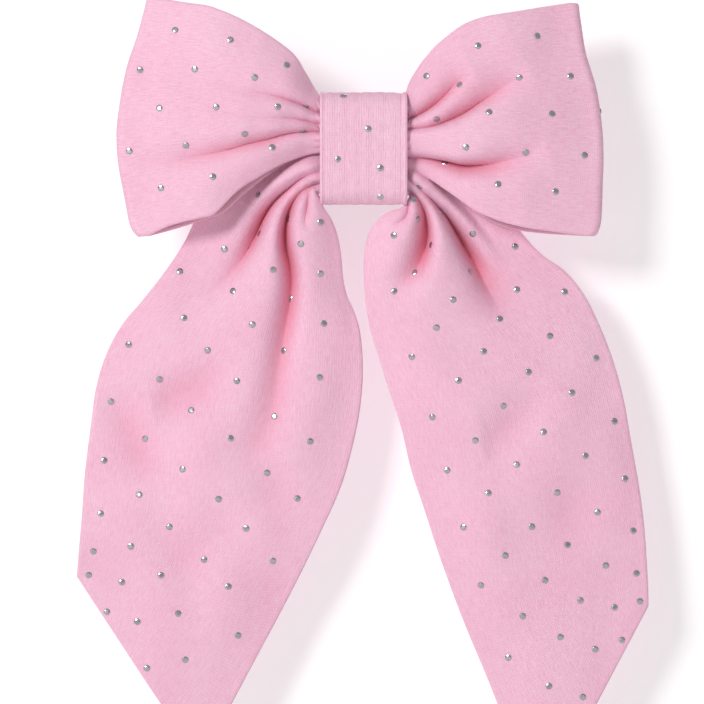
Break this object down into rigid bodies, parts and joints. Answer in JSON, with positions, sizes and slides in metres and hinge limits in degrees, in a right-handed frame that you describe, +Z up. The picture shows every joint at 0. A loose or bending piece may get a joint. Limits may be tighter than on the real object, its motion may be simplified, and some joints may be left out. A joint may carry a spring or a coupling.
{
  "type": "hair bow with long tails on a sprung lever clip",
  "caption": "Fabric hair bow with open loops and long diagonal-cut tails, a wrapped knot with small metal studs, on a sprung alligator clip.",
  "frame": {"origin": "between the closed jaws of the clip, behind the middle of the knot", "axes": "+X to the right as the bow is seen from the front, +Z up along the bow as worn, -Y out of the bow's front, +Y towards the head"},
  "size_m": [0.143, 0.0306, 0.2052],
  "materials": {
    "bow_fabric": "matt slubbed weave",
    "bow_lining": "matt slubbed weave",
    "thread": "polyester thread",
    "glue": "hot-melt adhesive",
    "clip_ribbon": "ribbed grosgrain",
    "clip_steel": "nickel-plated pressed steel",
    "spring_wire": "drawn spring wire",
    "stud_metal": "bright hot-fix stud"
  },
  "bodies": {
    "bow": {"loop_band_outer": "bow_fabric", "loop_band_lining": "bow_lining", "tail_strip_front": "bow_fabric", "tail_strip_back": "bow_lining", "knot_wrap": "bow_fabric", "gather_thread": "thread", "wrap_stitch_1": "thread", "wrap_stitch_2": "thread", "wrap_stitch_3": "thread", "wrap_stitch_4": "thread", "glue_pad": "glue", "clip_ribbon": "clip_ribbon", "clip_top_arm": "clip_steel", "clip_pin": "clip_steel", "clip_spring": "spring_wire", "knot_stud_1": "stud_metal", "knot_stud_2": "stud_metal", "knot_stud_3": "stud_metal", "knot_stud_4": "stud_metal", "knot_stud_5": "stud_metal"},
    "jaw": {"clip_jaw": "clip_steel"}
  },
  "joints": [
    {"name": "clip_jaw_hinge", "type": "hinge", "parent": "bow", "child": "jaw", "pos_m": [0.014, 0.0011, 0], "axis": [0, 0, -1], "range_deg": [0, 32], "stiffness_Nm_per_rad": 0.15, "springref_deg": -57.3, "deforming": ["clip_spring"]}
  ]
}
